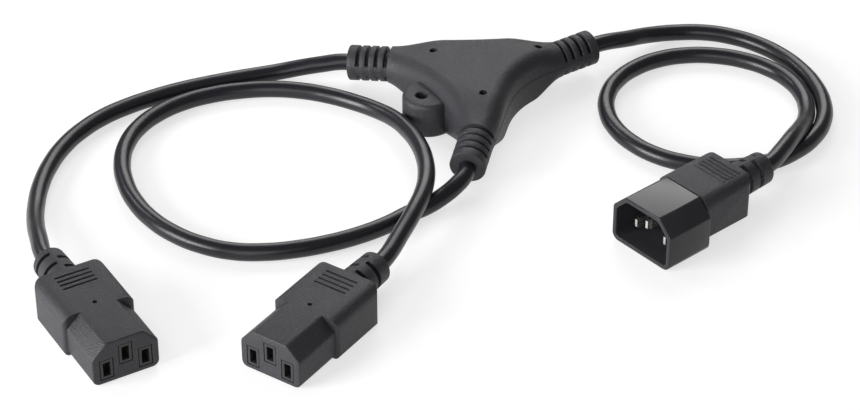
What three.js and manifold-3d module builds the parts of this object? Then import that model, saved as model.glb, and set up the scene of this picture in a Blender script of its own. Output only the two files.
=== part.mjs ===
// Power cord splitter: one inlet plug feeds two outlet connectors through a moulded Y junction.
// Millimetres, Z up, X to the viewer's right, Y away from the viewer, floor at z = 0.
// The underside of the Y junction is centred on the origin.

import * as THREE from 'three';
import { mergeVertices } from 'three/addons/utils/BufferGeometryUtils.js';
import Module from 'manifold-3d';

const wasm = await Module();
wasm.setup();

// Clearances shared by every seated piece
const GAP = 0.3;
const OVERCUT = 1;

// Flexible cord and its three insulated cores
const CORD_DIA = 6.4;
const CORD_SIDES = 10;
const CORE_DIA = 1.8;
const CORE_RING = 1.5;
const CORE_SIDES = 6;
const CORE_STEPS = 10;
const CORE_BORE_R = CORE_DIA / 2 + GAP;
const BUNDLE_BORE_R = CORE_RING + CORE_BORE_R;

// Y junction body
const JUNCTION_TURN = THREE.MathUtils.degToRad(31.8);
const JUNCTION_X = 10.33;
const JUNCTION_Y = 15.77;
const JUNCTION_H = 19.6;
const AXIS_Z = JUNCTION_H / 2;
const ARM_HALF = 6.8;
const INPUT_REACH = 40.3;
const OUTPUT_REACH = 58.4;
const RELIEF_LENGTH = 15.2;
const INPUT_ROOT = INPUT_REACH - RELIEF_LENGTH;
const OUTPUT_ROOT = OUTPUT_REACH - RELIEF_LENGTH;
const FORK_HALF = Math.PI / 4;
const FRONT_BLEND_R = 37;
const FAR_SAGITTA = 2;
const BACK_U = -30.5;
const EDGE_R = 5.8;
const FOOT_R = 1.2;
const EJECTOR_DIA = 3;
const EJECTOR_DEPTH = 3;

// Ribbed strain reliefs on the junction's arms
const RELIEF_R = 6.7;
const RELIEF_FLOOR_R = 4.6;
const RIB_COUNT = 4;
const RIB_PITCH = 3.6;
const RIB_GROOVE = 1.3;
const END_COLLAR = 3.6;
const WEB_WIDTH = 4;

// Screw lug on the back of the junction
const LUG_U = -32.3;
const LUG_R = 9.6;
const LUG_H = 14.1;
const LUG_HOLE_U = -35.1;
const LUG_HOLE_DIA = 4.6;
const LUG_EDGE = 1.6;
const LUG_FOOT_EDGE = 1.8;

// Pole layout shared by both connector types
const POLE_PITCH = 7;
const EARTH_RISE = 4;

// Outlet connector
const NOSE_HALF = 12;
const NOSE_H = 16;
const NOSE_LENGTH = 19.8;
const NOSE_CHAMFER = 5.25;
const GRIP_HALF = 13.2;
const GRIP_END = 44.6;
const OUTLET_RELIEF_END = 62.8;
const OUTLET_AXIS_Z = 8.2;
const OUTLET_POLE_Z = 5.65;
const SLOT_W = 2.64;
const SLOT_H = 5.45;
const OUTLET_RELIEF_R = [6.6, 6.3, 5.9];
const OUTLET_TAPER_END = 49;
const CHIMNEY_WALL = 0.9;
const LIP_DEPTH = 1.5;
const SLEEVE_FRONT = 5;
const CARRIER_FRONT = 15.4;
const CARRIER_END = 20.4;

// Inlet plug
const SHROUD_HALF = 14.15;
const SHROUD_H = 19.9;
const SHROUD_CHAMFER = 5.75;
const SHROUD_WALL = 1.8;
const SHROUD_DEPTH = 16.5;
const SHROUD_END = 20;
const SPIGOT_END = 26.4;
const INLET_GRIP_END = 43.4;
const INLET_RELIEF_END = 63;
const INLET_RELIEF_R = [8.4, 6.7, 6.2];
const INLET_TAPER_END = 48;
const INLET_AXIS_Z = 10;
const INLET_POLE_Z = 7.75;
const PIN_W = 2;
const PIN_H = 4;
const PIN_TIP = 4.6;
const EARTH_PIN_TIP = 2.6;

// Where the three connectors lie and which way their cord ends point
const OUTLET_A = { at: [-116.0, -151.1], turn: THREE.MathUtils.degToRad(30.6) };
const OUTLET_B = { at: [-68.8, -151.8], turn: THREE.MathUtils.degToRad(-34.0) };
const INLET = { at: [56.7, -83.5], turn: THREE.MathUtils.degToRad(-49.2) };

// Colours and surfaces
const BODY_BLACK = { color: 0x37373b, roughness: 0.62, metalness: 0 };
const CORD_BLACK = { color: 0x222226, roughness: 0.38, metalness: 0 };
const CARRIER_GREY = { color: 0x2c2c30, roughness: 0.5, metalness: 0 };
const SHROUD_BLACK = { color: 0x303034, roughness: 0.25, metalness: 0 };
const PREMOULD = { color: 0xb9b4a6, roughness: 0.55, metalness: 0 };
const PLATED = { color: 0xc9c8c2, roughness: 0.25, metalness: 1 };
const BRASS = { color: 0xb8923f, roughness: 0.3, metalness: 1 };
const CORE_COLOURS = {
  line: { color: 0x6b3b1e, roughness: 0.5, metalness: 0 },
  neutral: { color: 0x2f62a8, roughness: 0.5, metalness: 0 },
  earth: { color: 0x5d9a34, roughness: 0.5, metalness: 0 },
};
const POLES = ['line', 'earth', 'neutral'];

// Conversion between geometries and solids
function toSolid(geometry) {
  const bare = geometry.clone();
  bare.deleteAttribute('normal');
  bare.deleteAttribute('uv');
  const merged = mergeVertices(bare, 1e-4);
  return new wasm.Manifold(new wasm.Mesh({
    numProp: 3,
    vertProperties: new Float32Array(merged.attributes.position.array),
    triVerts: new Uint32Array(merged.index.array),
  }));
}

function toGeometry(solid) {
  const mesh = solid.getMesh();
  const geometry = new THREE.BufferGeometry();
  geometry.setAttribute('position', new THREE.BufferAttribute(new Float32Array(mesh.vertProperties), 3));
  geometry.setIndex(new THREE.BufferAttribute(new Uint32Array(mesh.triVerts), 1));
  geometry.computeVertexNormals();
  return geometry;
}

const joined = (solids) => solids.reduce((sum, solid) => sum.add(solid));
const cutBy = (solid, tools) => tools.reduce((rest, tool) => rest.subtract(tool), solid);

// Flat outlines
const vec = (pair) => new THREE.Vector2(pair[0], pair[1]);
const shapeOf = (points) => new THREE.Shape(points.map(vec));

function arcPoints(cx, cy, radius, from, to, count) {
  const points = [];
  for (let i = 0; i <= count; i += 1) {
    const angle = from + ((to - from) * i) / count;
    points.push([cx + radius * Math.cos(angle), cy + radius * Math.sin(angle)]);
  }
  return points;
}

const ring = (radius, sides) => arcPoints(0, 0, radius, 0, 2 * Math.PI, sides).slice(0, sides);

// Box given by its low and high corners
function block(low, high) {
  const size = high.map((value, i) => value - low[i]);
  const box = new THREE.BoxGeometry(size[0], size[1], size[2]);
  box.translate(low[0] + size[0] / 2, low[1] + size[1] / 2, low[2] + size[2] / 2);
  return toSolid(box);
}

// Outline in X and Y raised along Z
function plate(points, low, high) {
  const geometry = new THREE.ExtrudeGeometry(shapeOf(points), { depth: high - low, bevelEnabled: false });
  return toSolid(geometry.translate(0, 0, low));
}

// Outline in X and Z drawn out along Y, with its front edge broken when an edge is given
function section(points, start, end, edge = 0) {
  const geometry = new THREE.ExtrudeGeometry(shapeOf(points), {
    depth: end - start - 2 * edge,
    bevelEnabled: edge > 0,
    bevelThickness: edge,
    bevelSize: edge,
    bevelOffset: -edge,
    bevelSegments: 1,
  });
  return toSolid(geometry.rotateX(Math.PI / 2).translate(0, end - edge, 0));
}

// Round bar along Y from one radius to another
function bar(startRadius, endRadius, start, end, z, sides, x = 0) {
  const geometry = new THREE.CylinderGeometry(endRadius, startRadius, end - start, sides);
  return toSolid(geometry.translate(x, (start + end) / 2, z));
}

// Round tube or wire that follows a smooth curve through points
function smoothCurve(points) {
  return new THREE.CatmullRomCurve3(points.map((p) => new THREE.Vector3(p[0], p[1], p[2])), false, 'centripetal');
}

function strand(points, radius, sides, steps) {
  return toSolid(new THREE.ExtrudeGeometry(shapeOf(ring(radius, sides)), {
    steps,
    bevelEnabled: false,
    extrudePath: smoothCurve(points),
  }));
}

// Scene graph
const splitter = new THREE.Group();
splitter.name = 'power_cord_splitter';

function piece(parent, name, geometry, finish) {
  const mesh = new THREE.Mesh(geometry, new THREE.MeshStandardMaterial(finish));
  mesh.name = name;
  parent.add(mesh);
}

// Y junction in its own frame: input arm along +X, output arms to either side of -X
const FORK = Math.PI - FORK_HALF;
const ARMS = {
  input: { angle: 0, reach: INPUT_REACH, root: INPUT_ROOT, hub: 10, tip: 0.5, stations: [25.1, 22, 19, 16, 13, 10] },
  left: { angle: FORK, reach: OUTPUT_REACH, root: OUTPUT_ROOT, hub: 24, tip: -1.4, stations: [43.2, 40, 36, 32, 28, 24] },
  right: { angle: -FORK, reach: OUTPUT_REACH, root: OUTPUT_ROOT, hub: 24, tip: -1.9, stations: [43.2, 40, 36, 32, 28, 24] },
};

// Half width of an arm on the side that blends into its wide neighbour
const FRONT_TANGENT = (ARM_HALF + FRONT_BLEND_R) * Math.tan(FORK_HALF / 2);
function frontSide(d) {
  const past = Math.max(0, FRONT_TANGENT - d);
  return ARM_HALF + FRONT_BLEND_R - Math.sqrt(FRONT_BLEND_R ** 2 - past ** 2);
}

// Half width of an output arm on the side that faces the screw lug
const BACK_CORNER = [(OUTPUT_ROOT + ARM_HALF) * -Math.SQRT1_2, (OUTPUT_ROOT - ARM_HALF) * Math.SQRT1_2];
const BACK_SAGITTA = BACK_U - BACK_CORNER[0];
const BACK_R = (BACK_CORNER[1] ** 2 + BACK_SAGITTA ** 2) / (2 * BACK_SAGITTA);
const BACK_CENTRE = (BACK_R - BACK_U) * Math.SQRT1_2;
function backSide(d) {
  return BACK_CENTRE - Math.sqrt(BACK_R ** 2 - (BACK_CENTRE - d) ** 2);
}

function armPoint(angle, d, lateral) {
  const cos = Math.cos(angle);
  const sin = Math.sin(angle);
  return [d * cos - lateral * sin, d * sin + lateral * cos];
}

// Far side of the junction: one shallow arc from the left arm's root to the input arm's root
const FAR_LEFT = vec(armPoint(FORK, OUTPUT_ROOT, -ARM_HALF));
const FAR_RIGHT = vec(armPoint(0, INPUT_ROOT, ARM_HALF));
const FAR_CHORD = FAR_RIGHT.clone().sub(FAR_LEFT);
const FAR_R = ((FAR_CHORD.length() / 2) ** 2 + FAR_SAGITTA ** 2) / (2 * FAR_SAGITTA);
const FAR_CENTRE = FAR_LEFT.clone().add(FAR_RIGHT).multiplyScalar(0.5)
  .add(new THREE.Vector2(-FAR_CHORD.y, FAR_CHORD.x).setLength(FAR_R - FAR_SAGITTA));

// Half width of an arm where its side meets the far arc
function farSide(angle, sign) {
  const across = vec(armPoint(angle, 0, sign));
  return (d) => {
    const fromCentre = vec(armPoint(angle, d, 0)).sub(FAR_CENTRE);
    const b = across.dot(fromCentre);
    return -b - Math.sqrt(b ** 2 - fromCentre.lengthSq() + FAR_R ** 2);
  };
}

// Outline of the junction, walked anticlockwise, each point with its place on an arm
function junctionOutline() {
  const walk = [];
  const blend = [7, FRONT_TANGENT - FRONT_BLEND_R * Math.sin(FORK_HALF / 2)];
  const outerBlend = [8, 13, 18.5];
  const inputFar = farSide(0, 1);
  const leftFar = farSide(FORK, -1);
  const put = (arm, d, lateral, station) => walk.push({ arm, d, lateral, station });
  const along = (arm, side, sign, order) => order.forEach((d, i) => {
    const station = order === arm.stations ? i : arm.stations.length - 1 - i;
    put(arm, d, sign * side(d), station);
  });
  const { input, left, right } = ARMS;
  const inward = (arm) => arm.stations;
  const outward = (arm) => [...arm.stations].reverse();
  along(input, frontSide, -1, outward(input));
  along(input, inputFar, 1, inward(input));
  [5, 1].forEach((d) => put(input, d, inputFar(d), -1));
  [16, 20].forEach((d) => put(left, d, -leftFar(d), -1));
  along(left, leftFar, -1, outward(left));
  along(left, backSide, 1, inward(left));
  walk.push({ fixed: [BACK_U, 0], station: -1 });
  along(right, backSide, -1, outward(right));
  along(right, frontSide, 1, inward(right));
  [...outerBlend].reverse().forEach((d) => put(right, d, frontSide(d), -1));
  [...blend].reverse().forEach((d) => put(input, d, -frontSide(d), -1));
  return walk;
}

// Junction body: rings stacked from the underside to the top, drawn in by a rounded edge
function junctionBody() {
  const walk = junctionOutline();
  const count = walk.length;
  const plan = walk.map((w) => w.fixed || armPoint(w.arm.angle, w.d, w.lateral));
  const smooth = (t) => t * t * (3 - 2 * t);
  const spots = walk.map((w, i) => {
    const before = plan[(i + count - 1) % count];
    const after = plan[(i + 1) % count];
    const normal = new THREE.Vector2(before[1] - after[1], after[0] - before[0]).normalize();
    const share = w.station < 0 ? 0 : smooth(Math.max(0, (w.d - w.arm.hub) / (w.arm.root - w.arm.hub)));
    if (w.station >= 0) {
      const lateral = new THREE.Vector2(...armPoint(w.arm.angle, 0, -Math.sign(w.lateral)));
      normal.lerp(lateral, w.station === 0 ? 1 : share).normalize();
    }
    return {
      plan: plan[i],
      normal,
      half: AXIS_Z - (AXIS_Z - ARM_HALF) * share,
      edge: EDGE_R + (ARM_HALF - 0.2 - EDGE_R) * share,
      foot: FOOT_R + (ARM_HALF - 0.2 - FOOT_R) * share,
    };
  });
  const turns = [-90, -60, -35, -15, 0, 15, 35, 60, 90].map(THREE.MathUtils.degToRad);
  const positions = [];
  turns.forEach((turn) => spots.forEach((spot) => {
    const radius = turn < 0 ? spot.foot : spot.edge;
    const inset = radius * (1 - Math.cos(turn));
    const rise = Math.sign(turn) * (spot.half - radius) * Math.min(1, Math.abs(turn) * 4);
    positions.push(
      spot.plan[0] + spot.normal.x * inset,
      spot.plan[1] + spot.normal.y * inset,
      AXIS_Z + rise + radius * Math.sin(turn),
    );
  }));
  const faces = [];
  for (let level = 0; level < turns.length - 1; level += 1) {
    for (let i = 0; i < count; i += 1) {
      const a = level * count + i;
      const b = level * count + ((i + 1) % count);
      faces.push(a, b, b + count, a, b + count, a + count);
    }
  }
  const cap = [];
  Object.values(ARMS).forEach((arm) => {
    const side = (sign) => arm.stations.map((d, s) => walk.findIndex((w) => (
      w.arm === arm && w.station === s && Math.sign(w.lateral) === sign)));
    const low = side(-1);
    const high = side(1);
    for (let s = 0; s < arm.stations.length - 1; s += 1) {
      cap.push([low[s], high[s], high[s + 1]], [low[s], high[s + 1], low[s + 1]]);
    }
  });
  const lastStation = ARMS.input.stations.length - 1;
  const hub = walk.map((w, i) => i).filter((i) => walk[i].station < 0 || walk[i].station === lastStation);
  THREE.ShapeUtils.triangulateShape(hub.map((i) => vec(plan[i])), []).forEach((tri) => {
    cap.push(tri.map((i) => hub[i]));
  });
  const top = (turns.length - 1) * count;
  cap.forEach(([a, b, c]) => faces.push(top + a, top + b, top + c, a, c, b));
  const geometry = new THREE.BufferGeometry();
  geometry.setAttribute('position', new THREE.BufferAttribute(new Float32Array(positions), 3));
  geometry.setIndex(faces);
  return toSolid(geometry);
}

// Points along an arm: straight to the root, then along the relief, whose tip leans up or down
function armAt(arm, d, lateral = 0, lift = 0) {
  const lean = d > arm.root ? (arm.tip * (d - arm.root)) / RELIEF_LENGTH : 0;
  const [x, y] = armPoint(arm.angle, d, lateral);
  return [x, y, AXIS_Z + lean + lift];
}

// Anything drawn along Y is turned onto an arm's relief
function ontoRelief(solid, arm) {
  const [x, y] = armPoint(arm.angle, arm.root, 0);
  const tilt = THREE.MathUtils.radToDeg(Math.atan2(arm.tip, RELIEF_LENGTH));
  const turn = THREE.MathUtils.radToDeg(arm.angle) - 90;
  return solid.rotate([tilt, 0, 0]).rotate([0, 0, turn]).translate([x, y, AXIS_Z]);
}

function junctionRelief(arm) {
  const body = bar(RELIEF_R, RELIEF_R, -OVERCUT, RELIEF_LENGTH, 0, 24);
  const grooves = [];
  for (let rib = 0; rib < RIB_COUNT; rib += 1) {
    const end = RELIEF_LENGTH - END_COLLAR - rib * RIB_PITCH;
    const start = end - RIB_GROOVE;
    const keep = bar(RELIEF_FLOOR_R, RELIEF_FLOOR_R, start - OVERCUT, end + OVERCUT, 0, 24);
    const web = block([-ARM_HALF - 2, start - OVERCUT, -WEB_WIDTH / 2], [ARM_HALF + 2, end + OVERCUT, WEB_WIDTH / 2]);
    grooves.push(cutBy(bar(ARM_HALF + 2, ARM_HALF + 2, start, end, 0, 12), [keep, web]));
  }
  return { body: ontoRelief(body, arm), grooves: grooves.map((groove) => ontoRelief(groove, arm)) };
}

// Splices inside the junction: three crimped barrels in a block moulded before the body
const SPLICE_V = { line: 6, earth: 0, neutral: -6 };
const SPLICE_U = -7.7;
const SPLICE_LENGTH = 8;
const SPLICE_R = 2;
const PREMOULD_U = [-14, -1.5];
const PREMOULD_HALF = 9.4;
const PREMOULD_RISE = 3.6;
const STACK = CORE_DIA / 2 + GAP / 2;
const FAN_SPREAD = 2.3;
const CORE_FANS = [[[-18.7, 10.4]], [[-20.6, 5.5]], [[-21.2, -3.2], [-23.4, 6]]];

// Each core ends in a triangle of three at the relief's end face
function coreSpot(index) {
  const angle = Math.PI / 2 - ((index - 1) * 2 * Math.PI) / 3;
  return [CORE_RING * Math.cos(angle), CORE_RING * Math.sin(angle)];
}

// Paths of the nine cores between the arms' ends and the splices
function junctionCores() {
  const cores = [];
  POLES.forEach((pole, index) => {
    const v = SPLICE_V[pole];
    const near = SPLICE_U + SPLICE_LENGTH / 2 + GAP;
    const [side, lift] = coreSpot(2 - index);
    cores.push({ name: `input_core_${pole}`, pole, points: [
      [near, v, AXIS_Z], [near + 3, v, AXIS_Z], [near + 7, v * 0.75, AXIS_Z + lift * 0.3],
      [14, side + v * 0.12, AXIS_Z + lift * 0.8],
      armAt(ARMS.input, 19, side, lift), armAt(ARMS.input, INPUT_ROOT, side, lift),
      armAt(ARMS.input, INPUT_REACH - GAP, side, lift)] });
    const rear = SPLICE_U - SPLICE_LENGTH / 2 - GAP;
    [['left', 1], ['right', -1]].forEach(([armName, sign]) => {
      const arm = ARMS[armName];
      const fan = CORE_FANS[sign > 0 ? index : 2 - index];
      const level = AXIS_Z + sign * STACK;
      const [side, drop] = coreSpot(index);
      const spread = Math.sign(side.toFixed(3)) * FAN_SPREAD;
      cores.push({ name: `${armName}_core_${pole}`, pole, points: [
        [rear, v, level], [rear - 3.2, v, level],
        ...fan.map(([x, y]) => [x, sign * y, level]),
        armAt(arm, 30, spread, sign * STACK),
        armAt(arm, 39, side, drop), armAt(arm, 44, side, drop),
        armAt(arm, OUTPUT_REACH - GAP, side, drop)] });
    });
  });
  return cores;
}

const junction = new THREE.Group();
junction.position.set(JUNCTION_X, JUNCTION_Y, 0);
junction.rotation.z = JUNCTION_TURN;
splitter.add(junction);

function buildJunction() {
  const reliefs = Object.values(ARMS).map(junctionRelief);
  const lugOutline = [
    [BACK_U + 4, -LUG_R],
    ...arcPoints(LUG_U, 0, LUG_R, -Math.PI / 2, -1.5 * Math.PI, 16),
    [BACK_U + 4, LUG_R],
  ].reverse();
  const inner = (edge) => [
    [BACK_U + 4, LUG_R - edge],
    ...arcPoints(LUG_U, 0, LUG_R - edge, -1.5 * Math.PI, -Math.PI / 2, 16),
    [BACK_U + 4, edge - LUG_R],
  ];
  const lug = joined([
    plate(lugOutline, LUG_FOOT_EDGE, LUG_H - LUG_EDGE),
    plate(inner(LUG_EDGE), LUG_EDGE, LUG_H),
    plate(inner(LUG_FOOT_EDGE), 0, LUG_H - LUG_EDGE),
  ]);
  const lugHole = toSolid(new THREE.CylinderGeometry(LUG_HOLE_DIA / 2, LUG_HOLE_DIA / 2, LUG_H * 2, 20)
    .rotateX(Math.PI / 2).translate(LUG_HOLE_U, 0, LUG_H / 2));
  const ejectors = [[16.4, 0], [-19.3, 17.3], [-19.3, -17.3]].map(([u, v]) => toSolid(
    new THREE.CylinderGeometry(EJECTOR_DIA / 2, EJECTOR_DIA / 2, 2 * EJECTOR_DEPTH, 12)
      .rotateX(Math.PI / 2).translate(u, v, JUNCTION_H)));
  const premouldLow = [PREMOULD_U[0], -PREMOULD_HALF, AXIS_Z - PREMOULD_RISE];
  const premouldHigh = [PREMOULD_U[1], PREMOULD_HALF, AXIS_Z + PREMOULD_RISE];
  const pocket = block(premouldLow.map((value) => value - GAP), premouldHigh.map((value) => value + GAP));
  const cores = junctionCores();
  const coreBores = cores.map((core) => strand(core.points, CORE_BORE_R, CORE_SIDES, CORE_STEPS));
  const bundleBores = Object.values(ARMS).map((arm) => (
    ontoRelief(bar(BUNDLE_BORE_R, BUNDLE_BORE_R, -2, RELIEF_LENGTH + OVERCUT, 0, 12), arm)));
  let body = joined([junctionBody(), lug, ...reliefs.map((relief) => relief.body)]);
  body = cutBy(body, reliefs.flatMap((relief) => relief.grooves));
  body = cutBy(body, [lugHole, ...ejectors, pocket, ...coreBores, ...bundleBores]);
  piece(junction, 'junction_body', toGeometry(body), BODY_BLACK);

  const barrelBore = (v) => toSolid(new THREE.CylinderGeometry(SPLICE_R + GAP, SPLICE_R + GAP, 40, 12)
    .rotateZ(Math.PI / 2).translate(SPLICE_U, v, AXIS_Z));
  const premould = cutBy(block(premouldLow, premouldHigh), Object.values(SPLICE_V).map(barrelBore));
  piece(junction, 'junction_splice_block', toGeometry(premould), PREMOULD);

  POLES.forEach((pole) => {
    const barrel = new THREE.CylinderGeometry(SPLICE_R, SPLICE_R, SPLICE_LENGTH, 12)
      .rotateZ(Math.PI / 2).translate(SPLICE_U, SPLICE_V[pole], AXIS_Z);
    piece(junction, `junction_splice_${pole}`, toGeometry(toSolid(barrel)), BRASS);
  });
  cores.forEach((core) => {
    const wire = strand(core.points, CORE_DIA / 2, CORE_SIDES, CORE_STEPS);
    piece(junction, `junction_${core.name}`, toGeometry(wire), CORE_COLOURS[core.pole]);
  });
}

// Cross-section with two broad top corners and two small bottom corners
function hoodSection(half, height, chamfer, bottomR, low = 0) {
  return [
    ...arcPoints(-half + bottomR, low + bottomR, bottomR, Math.PI, 1.5 * Math.PI, 3),
    ...arcPoints(half - bottomR, low + bottomR, bottomR, -Math.PI / 2, 0, 3),
    [half, height - chamfer], [half - chamfer, height],
    [chamfer - half, height], [-half, height - chamfer],
  ];
}

// Cross-section with rounded top corners
function gripSection(half, height, topR, bottomR, low = 0) {
  return [
    ...arcPoints(-half + bottomR, low + bottomR, bottomR, Math.PI, 1.5 * Math.PI, 2),
    ...arcPoints(half - bottomR, low + bottomR, bottomR, -Math.PI / 2, 0, 2),
    ...arcPoints(half - topR, height - topR, topR, 0, Math.PI / 2, 4),
    ...arcPoints(topR - half, height - topR, topR, Math.PI / 2, Math.PI, 4),
  ];
}

// Plan outline of a grip with rounded corners front and rear
function gripPlan(frontHalf, rearHalf, start, end, frontR, rearR) {
  return [
    ...arcPoints(frontR - frontHalf, start + frontR, frontR, Math.PI, 1.5 * Math.PI, 3),
    ...arcPoints(frontHalf - frontR, start + frontR, frontR, -Math.PI / 2, 0, 3),
    ...arcPoints(rearHalf - rearR, end - rearR, rearR, 0, Math.PI / 2, 4),
    ...arcPoints(rearR - rearHalf, end - rearR, rearR, Math.PI / 2, Math.PI, 4),
  ];
}

// Relief behind a connector: a sleeve with two tapers
function sleeve(radii, root, taperEnd, end, z) {
  const [rootR, neckR, endR] = radii;
  return joined([
    bar(rootR, neckR, root - OVERCUT, taperEnd, z, 24),
    bar(neckR, endR, taperEnd, end, z, 24),
  ]);
}

// Half-ring slots staggered left and right along a relief
function staggeredSlots(slots, width, floorR, z) {
  return slots.map(([middle, side]) => {
    const start = middle - width / 2;
    const end = middle + width / 2;
    const keep = bar(floorR, floorR, start - OVERCUT, end + OVERCUT, z, 20);
    const half = side > 0
      ? block([0.6, start, z - 12], [12, end, z + 12])
      : block([-12, start, z - 12], [-0.6, end, z + 12]);
    return cutBy(half, [keep]);
  });
}

// Cores of a connector, from the contacts' tails to the relief's end face
function connectorCores(start, poleZ, axisZ, end) {
  return POLES.map((pole, index) => {
    const x = (index - 1) * POLE_PITCH;
    const z = poleZ + (pole === 'earth' ? EARTH_RISE : 0);
    const [side, lift] = coreSpot(index);
    const bend = start + (44 - start) * 0.5;
    return { pole, points: [
      [x, start, z], [x, start + 3, z],
      [x * 0.55 + side * 0.45, bend, (z + axisZ + lift) / 2],
      [side, 42, axisZ + lift], [side, 47, axisZ + lift], [side, end - GAP, axisZ + lift]] };
  });
}

function coreBoresOf(cores, start, axisZ, end) {
  const bores = cores.flatMap((core) => {
    const [x, first, z] = core.points[0];
    return [
      strand(core.points, CORE_BORE_R, CORE_SIDES, CORE_STEPS),
      bar(CORE_BORE_R, CORE_BORE_R, start, first + GAP, z, CORE_SIDES, x),
    ];
  });
  return [...bores, bar(BUNDLE_BORE_R, BUNDLE_BORE_R, 42, end + OVERCUT, axisZ, 12)];
}

function placed(place) {
  const group = new THREE.Group();
  group.position.set(place.at[0], place.at[1], 0);
  group.rotation.z = place.turn;
  splitter.add(group);
  return group;
}

const polePlace = (index, poleZ) => [(index - 1) * POLE_PITCH, poleZ + (POLES[index] === 'earth' ? EARTH_RISE : 0)];

// Rectangular bar along Y centred on a pole
function poleBar(index, poleZ, width, height, start, end) {
  const [x, z] = polePlace(index, poleZ);
  return block([x - width / 2, start, z - height / 2], [x + width / 2, end, z + height / 2]);
}

// Outlet connector: overmoulded body, carrier with three chimneys, three sleeves, three cores
function buildOutlet(label, place) {
  const group = placed(place);
  const cores = connectorCores(CARRIER_END + GAP, OUTLET_POLE_Z, OUTLET_AXIS_Z, OUTLET_RELIEF_END);
  const poles = [0, 1, 2];
  const chimneyW = SLOT_W + 2 * CHIMNEY_WALL;
  const chimneyH = SLOT_H + 2 * CHIMNEY_WALL;
  const nose = section(hoodSection(NOSE_HALF, NOSE_H, NOSE_CHAMFER, 2.4), 0, NOSE_LENGTH + 4, 0.6);
  const grip = section(gripSection(GRIP_HALF, NOSE_H, 4.2, 1.4), NOSE_LENGTH, GRIP_END)
    .intersect(plate(gripPlan(GRIP_HALF, GRIP_HALF, NOSE_LENGTH, GRIP_END, 1.6, 3), -OVERCUT, NOSE_H + OVERCUT));
  const relief = sleeve(OUTLET_RELIEF_R, GRIP_END, OUTLET_TAPER_END, OUTLET_RELIEF_END, OUTLET_AXIS_Z);
  const slots = staggeredSlots([[48, 1], [54.2, 1], [51.2, -1], [57.3, -1]], 1.7, 4, OUTLET_AXIS_Z);
  const gripLines = [34, 36.3, 38.6, 40.9].map((y) => (
    block([-6.35, y - 0.4, NOSE_H - 0.5], [6.35, y + 0.4, NOSE_H + OVERCUT])));
  const pinHole = toSolid(new THREE.CylinderGeometry(0.75, 0.75, 4, 10)
    .rotateX(Math.PI / 2).translate(0, 22.6, NOSE_H));
  const carrierOutline = [[-9.8, 1.8], [9.8, 1.8], [9.8, 9.6], [4.6, 14], [-4.6, 14], [-9.8, 9.6]];
  const pocketOutline = [[-10.1, 1.5], [10.1, 1.5], [10.1, 9.75], [4.75, 14.3], [-4.75, 14.3], [-10.1, 9.75]];
  const chimneyHoles = poles.map((i) => (
    poleBar(i, OUTLET_POLE_Z, chimneyW + 2 * GAP, chimneyH + 2 * GAP, -OVERCUT, CARRIER_FRONT)));
  const pocket = section(pocketOutline, CARRIER_FRONT - GAP, CARRIER_END + GAP);
  const bores = coreBoresOf(cores, CARRIER_END, OUTLET_AXIS_Z, OUTLET_RELIEF_END);
  const body = cutBy(joined([nose, grip, relief]), [
    ...slots, ...gripLines, pinHole, ...chimneyHoles, pocket, ...bores]);
  piece(group, `outlet_${label}_body`, toGeometry(body), BODY_BLACK);

  const chimneys = poles.map((i) => poleBar(i, OUTLET_POLE_Z, chimneyW, chimneyH, 0.1, CARRIER_FRONT + OVERCUT));
  const mouths = poles.map((i) => poleBar(i, OUTLET_POLE_Z, SLOT_W, SLOT_H, -OVERCUT, 6));
  const chambers = poles.map((i) => poleBar(i, OUTLET_POLE_Z, 3.3, 6.1, LIP_DEPTH, CARRIER_END + OVERCUT));
  const carrier = cutBy(joined([section(carrierOutline, CARRIER_FRONT, CARRIER_END), ...chimneys]),
    [...mouths, ...chambers]);
  piece(group, `outlet_${label}_carrier`, toGeometry(carrier), CARRIER_GREY);

  poles.forEach((i) => {
    const [x, z] = polePlace(i, OUTLET_POLE_Z);
    const spring = poleBar(i, OUTLET_POLE_Z, 2.9, 5.5, SLEEVE_FRONT, 13)
      .subtract(poleBar(i, OUTLET_POLE_Z, 2.1, 4.3, 0, 12));
    const strap = block([x - 0.4, 12.6, z - 1.1], [x + 0.4, 16, z + 1.1]);
    const crimp = bar(1.15, 1.15, 15.5, CARRIER_END, z, 10, x);
    piece(group, `outlet_${label}_contact_${POLES[i]}`, toGeometry(joined([spring, strap, crimp])), BRASS);
  });
  cores.forEach((core) => {
    const wire = strand(core.points, CORE_DIA / 2, CORE_SIDES, CORE_STEPS);
    piece(group, `outlet_${label}_core_${core.pole}`, toGeometry(wire), CORE_COLOURS[core.pole]);
  });
  return group;
}

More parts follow.
